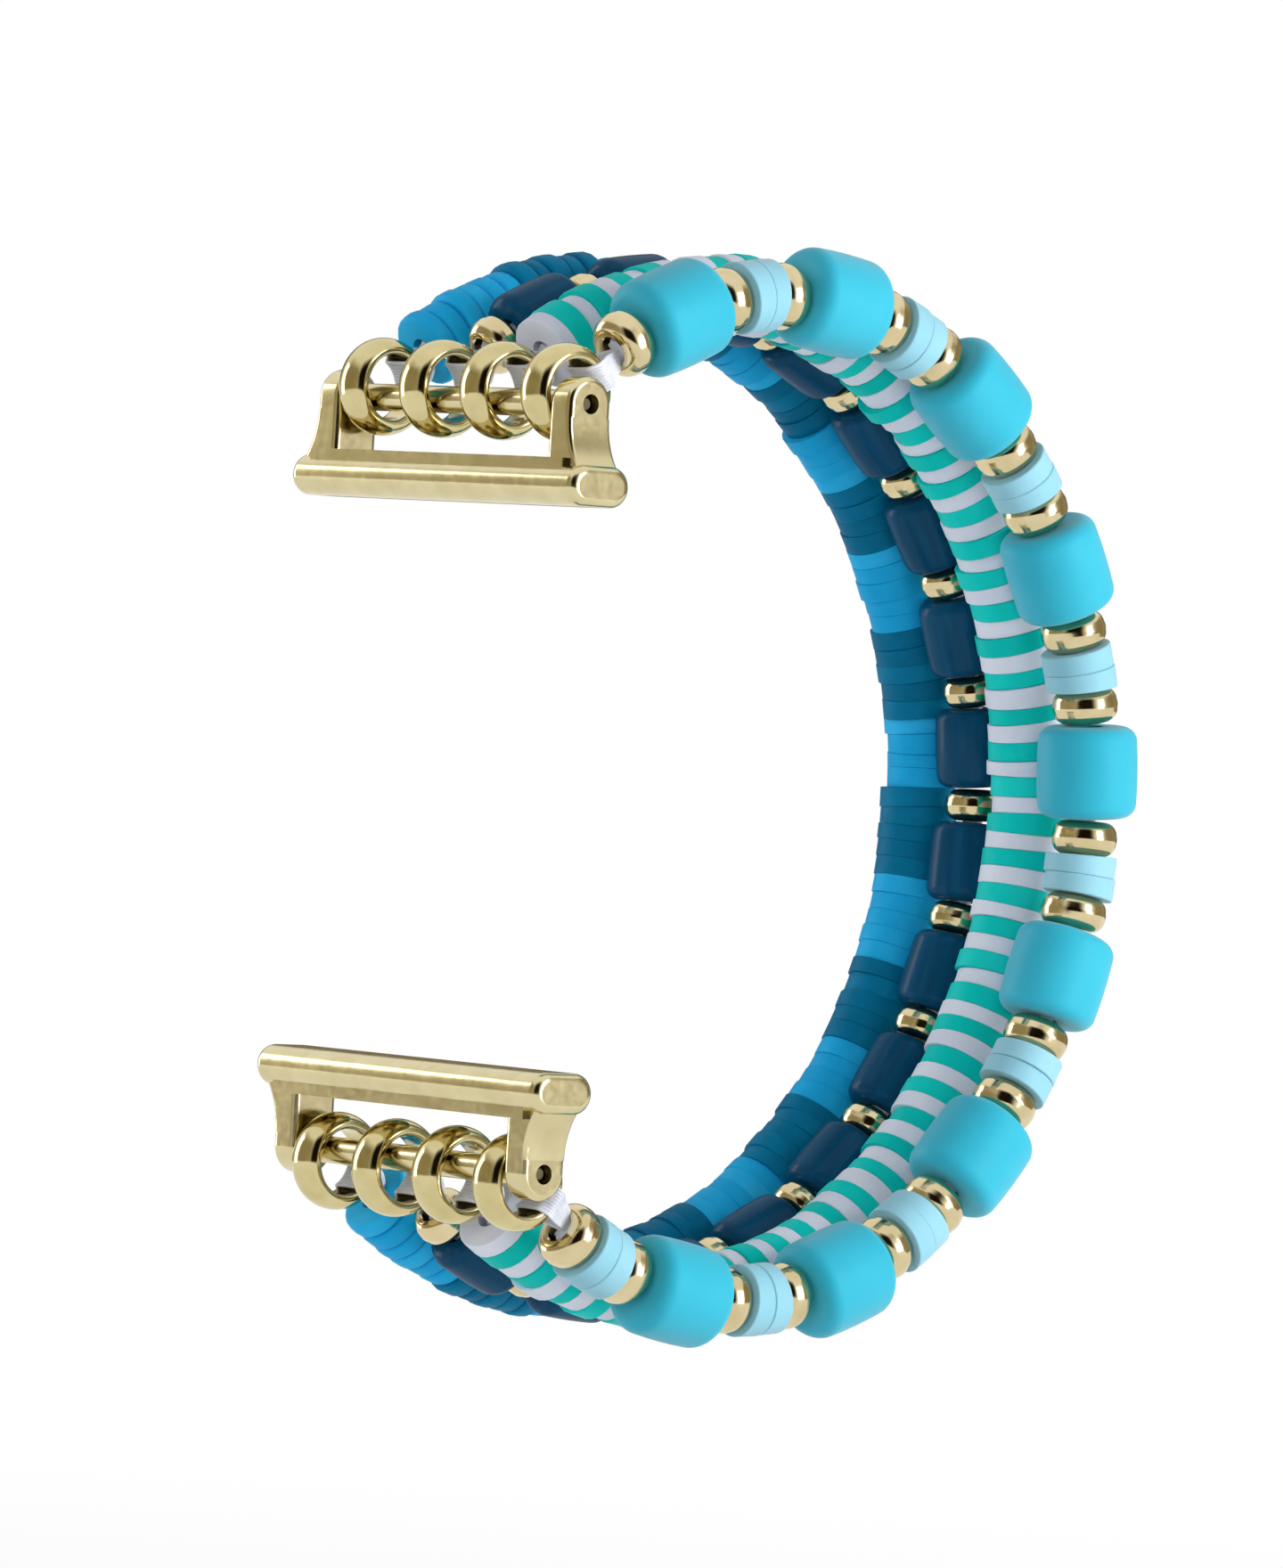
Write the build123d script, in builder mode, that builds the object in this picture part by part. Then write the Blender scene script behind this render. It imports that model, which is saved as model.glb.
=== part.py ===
from build123d import *
import os
from math import asin, atan2, cos, degrees, radians, sin, sqrt

# A bead watch band: four elastic strands of beads between two slide-in connectors.
# X runs along the width of the band, Y from the face side to the back of the wrist, and
# Z from the lower connector up to the upper one. The origin lies midway between the bars.
# All lengths are in millimetres and all angles in degrees.

# The loop as worn: the line that the strands follow, seen from the side
bar_span = 49.8
leave_angle = 42
shoulder_radius = 29.3
crown_radius = 25.5
crown_turn = 40

# Closed rings on each bar
ring_bore = 4.3
ring_width = 2.6
ring_outer = 6.5
ring_edge = 0.25
ring_pitch = 6.3
ring_bar_clearance = 0.15
ring_side_clearance = 0.25

# Spring bars
bar_outer = 1.8
bar_bore = 1.36
bar_mouth = 1.26
bar_mouth_length = 0.6
bar_end_clearance = 0.3
tip_running_clearance = 0.03
tip_collar_length = 1.2
tip_seat_depth = 1.6
tip_nose_chamfer = 0.25
bar_spring_clearance = 0.08
bar_spring_wire = 0.2

# Connectors
slider_length = 29.4
slider_depth = 5.0
slider_thickness = 2.7
slider_end_radius = 0.6
bar_above_slider = 3.95
neck_rise = 0.4
neck_depth = 4.2
ear_width = 3.5
ear_thickness = 2.1
ear_edge_radius = 0.4
flare_drop = 0.9
flare_edge_radius = 0.3
ear_bore_clearance = 0.05

# Latches in the sliders
latch_nose = 1.45
latch_nose_rise = 0.45
latch_nose_edge = 0.3
latch_flange = 1.8
latch_flange_length = 0.7
latch_lip = 0.55
latch_clearance = 0.05
latch_cavity_depth = 3.9
latch_spring_wire = 0.25

# Elastic cord
cord_diameter = 1.5
loop_thickness = 0.5
loop_clearance = 0.1
loop_corner = 0.45
neck_run = 0.65

# Beads: outer diameter and length of each kind, all on one hole size
hole_diameter = 1.9
disc_diameter = 5.2
disc_thickness = 1.155
tube_diameter = 5.2
tube_length = 5.3
small_spacer_diameter = 3.9
small_spacer_length = 2.1
barrel_diameter = 6.75
barrel_length = 6.08
spacer_diameter = 4.4
spacer_length = 2.25
pale_diameter = 4.8
pale_thickness = 1.15
disc_edge_share = 0.24
tube_edge_share = 0.11
barrel_edge_share = 0.17
spacer_edge_share = 0.36

# Threading
bead_gap = 0.03
strand_side_clearance = 0.15
disc_strand_start = 4.0
barrel_strand_start = 4.6
station_shares = (0.337, 0.6205)
pivot_clearance = 0.15

# Pattern of each strand from the upper ring to the lower one
blue_runs = (6, 5, 5, 4, 4, 4, 4, 4, 5, 5, 4, 5, 5, 5, 4, 5, 5, 5, 6, 5, 6)
segment_names = ("upper", "back", "lower")
strand_count = 4

# Sizes that follow
bar_height = bar_span / 2
bar_radius = bar_outer / 2
ring_bore_radius = ring_bore / 2
ring_radius = ring_outer / 2
ring_reach = ring_bore_radius - bar_radius - ring_bar_clearance
ring_row = ring_pitch * (strand_count - 1) + ring_width
ear_inner = ring_row / 2 + ring_side_clearance
ear_outer = ear_inner + ear_thickness
flare_run = slider_length / 2 - slider_end_radius - ear_outer
bar_half_length = ear_inner - bar_end_clearance
slider_height = bar_height - bar_above_slider - slider_thickness / 2
tip_nose_radius = bar_mouth / 2 - tip_running_clearance
ear_bore_radius = tip_nose_radius + ear_bore_clearance
tip_collar_radius = bar_bore / 2 - tip_running_clearance
collar_face = bar_half_length - bar_mouth_length - tip_running_clearance
hole_radius = hole_diameter / 2
cord_radius = cord_diameter / 2
ring_places = [ring_pitch * (k - (strand_count - 1) / 2) for k in range(strand_count)]
strand_radii = [disc_diameter / 2, tube_diameter / 2, disc_diameter / 2, barrel_diameter / 2]


def rows_at_back():
    """Places of the strands across the width where they lie closest, at the back."""
    places = [0]
    for here, after in zip(strand_radii, strand_radii[1:]):
        places.append(places[-1] + here + after + strand_side_clearance)
    return [place - places[-1] / 2 for place in places]


back_places = rows_at_back()

# The side line: upper ring, shoulder, crown, back, crown, shoulder, lower ring
ring_centre_y = ring_reach * cos(radians(leave_angle))
ring_centre_z = bar_height + ring_reach * sin(radians(leave_angle))
crown_height = ring_centre_z + shoulder_radius * (1 - cos(radians(leave_angle)))
back_start_height = crown_height - crown_radius * (1 - cos(radians(crown_turn)))
back_radius = back_start_height / cos(radians(crown_turn))
back_turn = 180 - 2 * crown_turn
side_arcs = (
    (shoulder_radius, leave_angle),
    (crown_radius, crown_turn),
    (back_radius, back_turn),
    (crown_radius, crown_turn),
    (shoulder_radius, leave_angle),
)
arc_lengths = [radius * radians(turn) for radius, turn in side_arcs]
side_length = sum(arc_lengths)
back_depth = (
    ring_centre_y
    + shoulder_radius * sin(radians(leave_angle))
    + crown_radius * sin(radians(crown_turn))
    + back_radius * (1 - sin(radians(crown_turn)))
)
station_places = [share * side_length for share in station_shares]


def side_point(run):
    """Point, heading and local radius of the side line at a length along it."""
    y, z, heading = ring_centre_y, ring_centre_z, radians(leave_angle)
    for radius, turn in side_arcs:
        part_turn = min(run / radius, radians(turn))
        after = heading - part_turn
        y += radius * (sin(heading) - sin(after))
        z += radius * (cos(after) - cos(heading))
        run -= part_turn * radius
        heading = after
        if run <= 0:
            break
    return y, z, heading, radius


def strand_plane(index):
    """Plane of one strand: across it runs the width, and the strands close in to the back."""
    lean = atan2(back_places[index] - ring_places[index], back_depth)
    return Plane(
        origin=(ring_places[index], 0, 0),
        x_dir=(sin(lean), cos(lean), 0),
        z_dir=(cos(lean), -sin(lean), 0),
    )


def bead_plane(index, run):
    """Plane across one strand at a length along it, its normal along the strand."""
    y, z, heading, radius = side_point(run)
    frame = strand_plane(index)
    along = frame.x_dir * cos(heading) + frame.y_dir * sin(heading)
    return Plane(origin=frame.from_local_coords((y, z, 0)), x_dir=frame.z_dir, z_dir=along)


bead_kinds = {
    "azure_discs": (disc_diameter / 2, disc_thickness, disc_edge_share),
    "teal_discs": (disc_diameter / 2, disc_thickness, disc_edge_share),
    "blue_tubes": (tube_diameter / 2, tube_length, tube_edge_share),
    "small_gold_spacers": (small_spacer_diameter / 2, small_spacer_length, spacer_edge_share),
    "green_discs": (disc_diameter / 2, disc_thickness, disc_edge_share),
    "white_discs": (disc_diameter / 2, disc_thickness, disc_edge_share),
    "barrels": (barrel_diameter / 2, barrel_length, barrel_edge_share),
    "gold_spacers": (spacer_diameter / 2, spacer_length, spacer_edge_share),
    "pale_discs": (pale_diameter / 2, pale_thickness, disc_edge_share),
}


def blue_pattern():
    """Runs of azure and teal discs, one after the other."""
    pattern = []
    for number, count in enumerate(blue_runs):
        pattern += [("azure_discs", "teal_discs")[number % 2]] * count
    return pattern


patterns = [
    blue_pattern(),
    ["small_gold_spacers", "blue_tubes"],
    ["white_discs", "green_discs"],
    ["gold_spacers", "barrels", "gold_spacers", "pale_discs", "pale_discs"],
]
starts = [disc_strand_start, disc_strand_start, disc_strand_start, barrel_strand_start]


def junction(first, second, run):
    """Room between the middles of two beads that touch at their inner edges on the curve."""
    reach = min(bead_kinds[first][0], bead_kinds[second][0])
    radius = side_point(run)[3]
    half_lengths = (bead_kinds[first][1] + bead_kinds[second][1]) / 2
    return half_lengths * radius / (radius - reach) + bead_gap


def end_room(kind, run):
    """Room between the end of a stretch and the middle of the bead beside it."""
    reach, length = bead_kinds[kind][:2]
    radius = side_point(run)[3]
    return length / 2 * radius / (radius - reach) + bead_gap


def thread(pattern, offset, low, high):
    """Fill one stretch of a strand with the beads that fit, the slack shared among the gaps."""
    kind = pattern[offset % len(pattern)]
    kinds = [kind]
    places = [low + end_room(kind, low)]
    while True:
        kind = pattern[(offset + len(kinds)) % len(pattern)]
        place = places[-1] + junction(kinds[-1], kind, places[-1])
        if place + end_room(kind, place) > high:
            break
        kinds.append(kind)
        places.append(place)
    slack = high - places[-1] - end_room(kinds[-1], places[-1])
    step = slack / len(places)
    return [(kind, place + step * (number + 0.5)) for number, (kind, place) in enumerate(zip(kinds, places))]


def keep(shape, name):
    """Label one finished piece and write it out."""
    shape.label = name
    export_step(shape, f"parts/{name}.step")


def make_bead(kind):
    """One bead standing on its hole axis, with rounded outer edges."""
    radius, length, edge_share = bead_kinds[kind]
    with BuildPart() as bead:
        with BuildSketch(Plane.XZ) as profile:
            with Locations(((radius + hole_radius) / 2, 0)):
                Rectangle(radius - hole_radius, length)
            outer_corners = profile.vertices().group_by(Axis.X)[-1]
            fillet(outer_corners, length * edge_share)
        revolve(axis=Axis.Z)
    return bead.part


def make_flare(side, end):
    """Foot of an ear that sweeps out to the slider's end on an arc tangent to the ear."""
    flare_top = side * (bar_height - flare_drop)
    slider_face = side * (slider_height + slider_thickness / 2)
    flare_height = abs(flare_top - slider_face)
    flare_radius = (flare_run**2 + flare_height**2) / (2 * flare_run)
    half_turn = asin(flare_height / flare_radius) / 2
    ear_core = end * (ear_inner + ear_outer) / 2
    with BuildPart() as flare:
        with BuildSketch(Plane.XZ):
            with BuildLine():
                sweep_line = ThreePointArc(
                    (end * ear_outer, flare_top),
                    (
                        end * (ear_outer + flare_radius * (1 - cos(half_turn))),
                        flare_top - side * flare_radius * sin(half_turn),
                    ),
                    (end * (ear_outer + flare_run), slider_face),
                )
                Polyline(
                    sweep_line @ 1,
                    (end * (ear_outer + flare_run), side * slider_height),
                    (ear_core, side * slider_height),
                    (ear_core, flare_top),
                    sweep_line @ 0,
                )
            make_face()
        extrude(amount=ear_width / 2, both=True)
        fillet(flare.edges().filter_by(GeomType.CIRCLE), flare_edge_radius)
    return flare.part


def make_connector(side):
    """Slider, neck and two ears; side is 1 for the upper connector and -1 for the lower."""
    slider_z = side * slider_height
    bar_z = side * bar_height
    ear_middle = (slider_z + bar_z) / 2
    ear_reach = bar_height - slider_height
    neck_top = slider_thickness / 2 + neck_rise
    with BuildPart() as connector:
        with BuildSketch(Plane.YZ.offset(-slider_length / 2)):
            with Locations((0, slider_z)):
                SlotOverall(slider_depth, slider_thickness)
        extrude(amount=slider_length)
        slider_ends = connector.edges().group_by(Axis.X)[0] + connector.edges().group_by(Axis.X)[-1]
        fillet(slider_ends, slider_end_radius)
        with Locations((0, 0, slider_z + side * neck_top / 2)):
            Box(2 * ear_outer, neck_depth, neck_top)
        for ear_start in (-ear_outer, ear_inner):
            with BuildSketch(Plane.YZ.offset(ear_start)) as ear:
                with Locations((0, slider_z)):
                    SlotOverall(slider_depth, slider_thickness)
                with Locations((0, slider_z + side * neck_top / 2)):
                    Rectangle(neck_depth, neck_top)
                with Locations((0, ear_middle)):
                    Rectangle(ear_width, ear_reach)
                with Locations((0, bar_z)):
                    Circle(ear_width / 2)
                root_z = slider_z + side * neck_top
                roots = [
                    corner
                    for corner in ear.vertices()
                    if abs(corner.Z - root_z) < neck_rise / 2 and abs(abs(corner.Y) - ear_width / 2) < neck_rise / 2
                ]
                fillet(roots, (neck_depth - ear_width) / 2)
            extrude(amount=ear_thickness)
        tips = [
            edge
            for edge in connector.edges().filter_by(GeomType.CIRCLE)
            if abs(edge.radius - ear_width / 2) < ear_edge_radius / 2
        ]
        fillet(tips, ear_edge_radius)
        for end in (-1, 1):
            add(make_flare(side, end))
        with Locations((0, 0, bar_z)):
            Cylinder(ear_bore_radius, slider_length, rotation=(0, 90, 0), mode=Mode.SUBTRACT)
        mouth_middle = slider_depth / 2 - latch_lip / 2
        cavity_middle = slider_depth / 2 - (latch_lip + latch_cavity_depth) / 2
        with Locations((0, mouth_middle, slider_z)):
            Cylinder(
                latch_nose / 2 + latch_clearance,
                latch_lip,
                rotation=(90, 0, 0),
                mode=Mode.SUBTRACT,
            )
        with Locations((0, cavity_middle, slider_z)):
            Cylinder(
                latch_flange / 2 + latch_clearance,
                latch_cavity_depth - latch_lip,
                rotation=(90, 0, 0),
                mode=Mode.SUBTRACT,
            )
    return connector.part


def make_ring(side, place):
    """Closed ring with a flat bore and a domed outside, its axis along the bar."""
    half_width = ring_width / 2
    shoulder = ring_bore_radius + ring_edge
    with BuildPart() as ring:
        with BuildSketch(Plane.XY) as band:
            with BuildLine():
                inner_line = Line((-half_width + ring_edge, ring_bore_radius), (half_width - ring_edge, ring_bore_radius))
                right_corner = ThreePointArc(
                    inner_line @ 1,
                    (half_width - ring_edge * (1 - sqrt(0.5)), shoulder - ring_edge * sqrt(0.5)),
                    (half_width, shoulder),
                )
                dome = ThreePointArc(right_corner @ 1, (0, ring_radius), (-half_width, shoulder))
                ThreePointArc(
                    dome @ 1,
                    (-half_width + ring_edge * (1 - sqrt(0.5)), shoulder - ring_edge * sqrt(0.5)),
                    inner_line @ 0,
                )
            make_face()
        revolve(axis=Axis.X)
    return ring.part.moved(Location((place, ring_centre_y, side * ring_centre_z)))


def make_bar_tube(side):
    """Tube of a spring bar, its two mouths narrowed to hold the tips in."""
    with BuildPart() as tube:
        with Locations((0, 0, side * bar_height)):
            Cylinder(bar_radius, 2 * bar_half_length, rotation=(0, 90, 0))
            Cylinder(bar_mouth / 2, 2 * bar_half_length, rotation=(0, 90, 0), mode=Mode.SUBTRACT)
            Cylinder(
                bar_bore / 2,
                2 * (bar_half_length - bar_mouth_length),
                rotation=(0, 90, 0),
                mode=Mode.SUBTRACT,
            )
    return tube.part


def make_bar_tip(side, end):
    """Sliding tip of a spring bar; end is 1 for the right one and -1 for the left one."""
    nose_end = ear_inner + tip_seat_depth
    collar_middle = collar_face - tip_collar_length / 2
    nose_length = nose_end - collar_middle
    with BuildPart() as tip:
        with Locations((end * collar_middle, 0, side * bar_height)):
            Cylinder(tip_collar_radius, tip_collar_length, rotation=(0, 90, 0))
        with Locations((end * (collar_middle + nose_length / 2), 0, side * bar_height)):
            Cylinder(tip_nose_radius, nose_length, rotation=(0, 90, 0))
        outer_rim = tip.edges().sort_by(Axis.X)[-1 if end > 0 else 0]
        chamfer(outer_rim, tip_nose_chamfer)
    return tip.part


def make_bar_spring(side):
    """Outer form of the spring between the two tips, inside the tube."""
    half_length = collar_face - tip_collar_length
    outer = bar_bore / 2 - bar_spring_clearance
    with BuildPart() as spring:
        with Locations((0, 0, side * bar_height)):
            Cylinder(outer, 2 * half_length, rotation=(0, 90, 0))
            Cylinder(outer - bar_spring_wire, 2 * half_length, rotation=(0, 90, 0), mode=Mode.SUBTRACT)
    return spring.part


latch_flange_face = slider_depth / 2 - latch_lip
latch_spring_room = latch_cavity_depth - latch_lip - latch_flange_length


def make_latch_plunger(side):
    """Round latch with a flange behind the lip of its bore and a rounded nose."""
    nose_end = slider_depth / 2 + latch_nose_rise
    nose_length = nose_end - latch_flange_face
    with BuildPart() as plunger:
        with Locations((0, latch_flange_face - latch_flange_length / 2, side * slider_height)):
            Cylinder(latch_flange / 2, latch_flange_length, rotation=(90, 0, 0))
        with Locations((0, latch_flange_face + nose_length / 2, side * slider_height)):
            Cylinder(latch_nose / 2, nose_length, rotation=(90, 0, 0))
        fillet(plunger.edges().sort_by(Axis.Y)[-1], latch_nose_edge)
    return plunger.part


def make_latch_spring(side):
    """Outer form of the spring behind the latch."""
    middle = latch_flange_face - latch_flange_length - latch_spring_room / 2
    with BuildPart() as spring:
        with Locations((0, middle, side * slider_height)):
            Cylinder(latch_nose / 2, latch_spring_room, rotation=(90, 0, 0))
            Cylinder(
                latch_nose / 2 - latch_spring_wire,
                latch_spring_room,
                rotation=(90, 0, 0),
                mode=Mode.SUBTRACT,
            )
    return spring.part


def loop_plane(index, upper):
    """Plane through the loop round a ring, its Y axis pointing from the ring to the beads."""
    cross = bead_plane(index, 0 if upper else side_length)
    outward = cross.z_dir if upper else -cross.z_dir
    across = cross.x_dir
    return Plane(origin=cross.origin, x_dir=across, z_dir=across.cross(outward))


def make_cord(index):
    """Elastic bundle through one strand, closed round the far band of the ring at each end."""
    half_width = ring_width / 2 + loop_clearance
    bore_side = sqrt(ring_bore_radius**2 - cord_radius**2) - loop_clearance
    shoulder = (ring_bore_radius + ring_edge + ring_radius) / 2
    apex = ring_radius + loop_clearance + neck_run / 2
    throat = ring_radius + neck_run
    breaks = [throat - neck_run / 4]
    for length in arc_lengths[:-1]:
        breaks.append(length + (breaks[-1] if len(breaks) > 1 else 0))
    breaks.append(side_length - throat + neck_run / 4)
    with BuildPart() as cord:
        with BuildLine(strand_plane(index)):
            for low, high in zip(breaks, breaks[1:]):
                ends = [side_point(run)[:2] for run in (low, (low + high) / 2, high)]
                ThreePointArc(*ends)
        with BuildSketch(bead_plane(index, breaks[0])):
            Circle(cord_radius)
        sweep()
        for upper in (True, False):
            with BuildSketch(loop_plane(index, upper)) as outline:
                with BuildLine() as outside:
                    edge = half_width + loop_thickness
                    Polyline(
                        (-cord_radius, throat),
                        (-edge, shoulder),
                        (-edge, bore_side - loop_thickness),
                        (edge, bore_side - loop_thickness),
                        (edge, shoulder),
                        (cord_radius, throat),
                        close=True,
                    )
                make_face()
                fillet(outline.vertices().group_by(Axis.Y)[0], loop_corner)
                with BuildLine() as inside:
                    Polyline(
                        (0, apex),
                        (-half_width, shoulder),
                        (-half_width, bore_side),
                        (half_width, bore_side),
                        (half_width, shoulder),
                        close=True,
                    )
                make_face(mode=Mode.SUBTRACT)
            extrude(amount=cord_radius, both=True)
    return cord.part


os.makedirs("parts", exist_ok=True)

# Connectors, rings, bars and latches
for side, place_name in ((1, "upper"), (-1, "lower")):
    keep(make_connector(side), f"{place_name}_connector")
    for index, place in enumerate(ring_places):
        keep(make_ring(side, place), f"{place_name}_ring_{index + 1}")
    keep(make_bar_tube(side), f"{place_name}_bar_tube")
    keep(make_bar_tip(side, -1), f"{place_name}_bar_tip_left")
    keep(make_bar_tip(side, 1), f"{place_name}_bar_tip_right")
    keep(make_bar_spring(side), f"{place_name}_bar_spring")
    keep(make_latch_plunger(side), f"{place_name}_latch_plunger")
    keep(make_latch_spring(side), f"{place_name}_latch_spring")

# Strands of beads, in three stretches that meet at the stations
blanks = {kind: make_bead(kind) for kind in bead_kinds}
for index, pattern in enumerate(patterns):
    ends = [starts[index], *station_places, side_length - starts[index]]
    offset = 0
    for segment, low, high in zip(segment_names, ends, ends[1:]):
        beads = thread(pattern, offset, low, high)
        offset += len(beads)
        for kind in sorted({kind for kind, place in beads}):
            places = [bead_plane(index, place) for name, place in beads if name == kind]
            with BuildPart() as group:
                with Locations(*places):
                    add(blanks[kind])
            keep(group.part, f"strand_{index + 1}_{kind}_{segment}")
        print("strand", index + 1, segment, len(beads), "beads, last", round(beads[-1][1], 2), beads[-1][0])
    keep(make_cord(index), f"elastic_cord_{index + 1}")

# Places that the joints need
print("side line", round(side_length, 3), "back radius", round(back_radius, 3), "depth", round(back_depth, 3))
print("ring centre y z", round(ring_centre_y, 4), round(ring_centre_z, 4), "ear inner", ear_inner)
for run in station_places:
    y, z, heading, radius = side_point(run)
    outward = max(strand_radii) + pivot_clearance
    pivot = (y - outward * sin(heading), z + outward * cos(heading))
    print("station", round(run, 3), "pivot y z", [round(value, 4) for value in pivot], round(degrees(heading), 3))
print("cord radii", [round(radius, 3) for radius, turn in side_arcs])
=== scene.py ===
import math
from collections import namedtuple

import bpy
import numpy as np
from mathutils import Matrix, Vector


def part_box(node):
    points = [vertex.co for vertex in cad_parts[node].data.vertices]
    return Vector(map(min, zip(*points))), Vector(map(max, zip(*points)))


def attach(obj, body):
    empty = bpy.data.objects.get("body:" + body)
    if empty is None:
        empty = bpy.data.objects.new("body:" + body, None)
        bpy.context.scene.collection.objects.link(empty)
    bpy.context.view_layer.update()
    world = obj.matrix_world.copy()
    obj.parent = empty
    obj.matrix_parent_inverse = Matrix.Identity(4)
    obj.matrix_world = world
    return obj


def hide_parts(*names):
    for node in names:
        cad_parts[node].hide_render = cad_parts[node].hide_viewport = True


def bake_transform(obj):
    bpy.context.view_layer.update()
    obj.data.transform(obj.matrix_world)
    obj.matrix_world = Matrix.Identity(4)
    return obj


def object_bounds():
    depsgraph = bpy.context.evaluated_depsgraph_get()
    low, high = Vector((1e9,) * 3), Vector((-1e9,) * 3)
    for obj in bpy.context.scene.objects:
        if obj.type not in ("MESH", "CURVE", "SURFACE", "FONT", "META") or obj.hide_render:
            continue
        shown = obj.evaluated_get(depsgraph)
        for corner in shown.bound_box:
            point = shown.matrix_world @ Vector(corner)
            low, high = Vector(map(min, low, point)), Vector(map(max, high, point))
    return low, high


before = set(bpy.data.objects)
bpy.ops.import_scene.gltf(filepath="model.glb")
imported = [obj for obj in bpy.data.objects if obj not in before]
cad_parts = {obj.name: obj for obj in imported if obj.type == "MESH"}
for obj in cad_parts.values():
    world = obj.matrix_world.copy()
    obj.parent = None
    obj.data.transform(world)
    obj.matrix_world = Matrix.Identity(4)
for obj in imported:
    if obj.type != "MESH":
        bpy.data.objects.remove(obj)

cad_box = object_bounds()

# Lengths are in metres, written as millimetres times MM. X runs along the width of the band,
# Y from the face side to the back of the wrist and Z up the arm.
MM = 0.001
ENDS = ("upper", "lower")
STRETCHES = ("upper", "back", "lower")
STRANDS = (1, 2, 3, 4)
LOOP_MIDDLE = np.array((0.0, 18 * MM, 0.0))
ACROSS = np.array((1.0, 0.0, 0.0))
SHARP_EDGE_DEG = 38

# The camera, at the photograph's viewing angle: round, above, rolled and away from the band
IMAGE_HEIGHT_PX = 1760
SENSOR_MM = 36.0
CAMERA_AZIMUTH = 50.0
CAMERA_ELEVATION = 0.6
CAMERA_ROLL = 3.5
CAMERA_DISTANCE = 740 * MM
CAMERA_FOCAL_PX = 12453
CAMERA_AIM = (-2.4 * MM, 19.2 * MM, 0.4 * MM)

# Beads, as outer diameter and length. Hard ones close up a little on the gaps left for bending.
BEAD_SIZES = {
    "azure_discs": (5.2 * MM, 1.155 * MM),
    "teal_discs": (5.2 * MM, 1.155 * MM),
    "green_discs": (5.2 * MM, 1.155 * MM),
    "white_discs": (5.2 * MM, 1.155 * MM),
    "pale_discs": (4.8 * MM, 1.15 * MM),
    "blue_tubes": (5.2 * MM, 5.38 * MM),
    "small_gold_spacers": (3.9 * MM, 2.16 * MM),
    "gold_spacers": (4.36 * MM, 2.32 * MM),
    "barrels": (6.7 * MM, 6.18 * MM),
}
STRAND_KINDS = {
    1: ("azure_discs", "teal_discs"),
    2: ("blue_tubes", "small_gold_spacers"),
    3: ("green_discs", "white_discs"),
    4: ("barrels", "gold_spacers", "pale_discs"),
}
HOLE_RADIUS = 0.95 * MM
BEAD_LIP = 0.12 * MM
# Points up the wall of a bead that swells at its middle
WALL_POINTS = 3
# Outline points beyond this many hole radii are outside, where a bead's radius varies
OUTSIDE_FROM = 1.2

# Seams between pressed discs lean and wander. A softness of 1 follows the whole of it, and
# kinds that aren't named are hard.
SEAM_SOFTNESS = {
    "azure_discs": 1.0,
    "teal_discs": 1.0,
    "green_discs": 1.0,
    "white_discs": 1.0,
    "pale_discs": 0.15,
}
SEAM_LEAN_DEG = 1.3
SEAM_WANDER = 0.05 * MM
SEAM_WANDER_MOST = 0.12 * MM
SEAM_GAP = 0.004 * MM

# Beads stand a little out of line, and a few of them further than the others
DISC_DRIFT = 0.06 * MM
STRIPE_DRIFT = 0.08 * MM
DISC_ROUNDNESS = 0.010
STRAY_SHARE = 0.1
STRAY_REACH = 2.2

# The strand of two blues has its discs in runs of one colour, and each run is out of line as a
# whole. Its discs grow soft, rounded edges towards the rings: their edge radius there, and the
# loop angles between which it grows
RUN_STRAND = 1
RUN_DRIFT = 0.13 * MM
PILLOW_EDGE = 0.36 * MM
PILLOW_ANGLES = (math.radians(75), math.radians(100))

# Each bead takes its pattern from a place of its own, up to this many mm away
PATTERN_SHIFT = 40
SEEDS_PER_STRAND = 100
# A direction that no bead's axis lies along
ODD_DIRECTION = (0.31, 0.17, 0.93)

# Ring section: where it is widest, as a share of the way out, and points along and round it
RING_WIDEST = 0.28
RING_SECTION_POINTS = 40
RING_ROUND_POINTS = 112

# Elastic: a row of threads round each ring and one bundle in the beads
THREADS = 9
THREAD_SIDES = 10
THREAD_STEPS = 6
THREAD_RADIUS = 0.135 * MM
THREAD_SPREAD = 0.22 * MM
THREAD_CLEARANCE = 1.25 * THREAD_RADIUS
BORE_CLEARANCE = 0.06 * MM
MOUTH_SQUEEZE = 0.62
RING_WALL = 1.1 * MM
BUNDLE_RADIUS = 0.70 * MM
BUNDLE_LOBES = 7
BUNDLE_LOBE_DEPTH = 0.1
BUNDLE_SIDES = 28
BUNDLE_STEPS = 4
# How far a bundle runs on past its last beads, as a share of their length
RUN_ON = 0.3

# Finishes of the nodes whose own shape is right, alike in the upper and the lower end
NODE_FINISHES = {
    "connector": "connector_gold",
    "bar_tube": "connector_gold",
    "bar_tip_left": "bar_steel",
    "bar_tip_right": "bar_steel",
    "bar_spring": "bar_steel",
    "latch_plunger": "bar_steel",
    "latch_spring": "bar_steel",
}
# Polishing haze takes a metal's roughness from the first to the second of these shares of it
HAZE_SHARES = (0.7, 1.5)

# Share of the white surroundings that lights the band; mirrors and the camera see all of it
WORLD_LIGHT = 0.40

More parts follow.
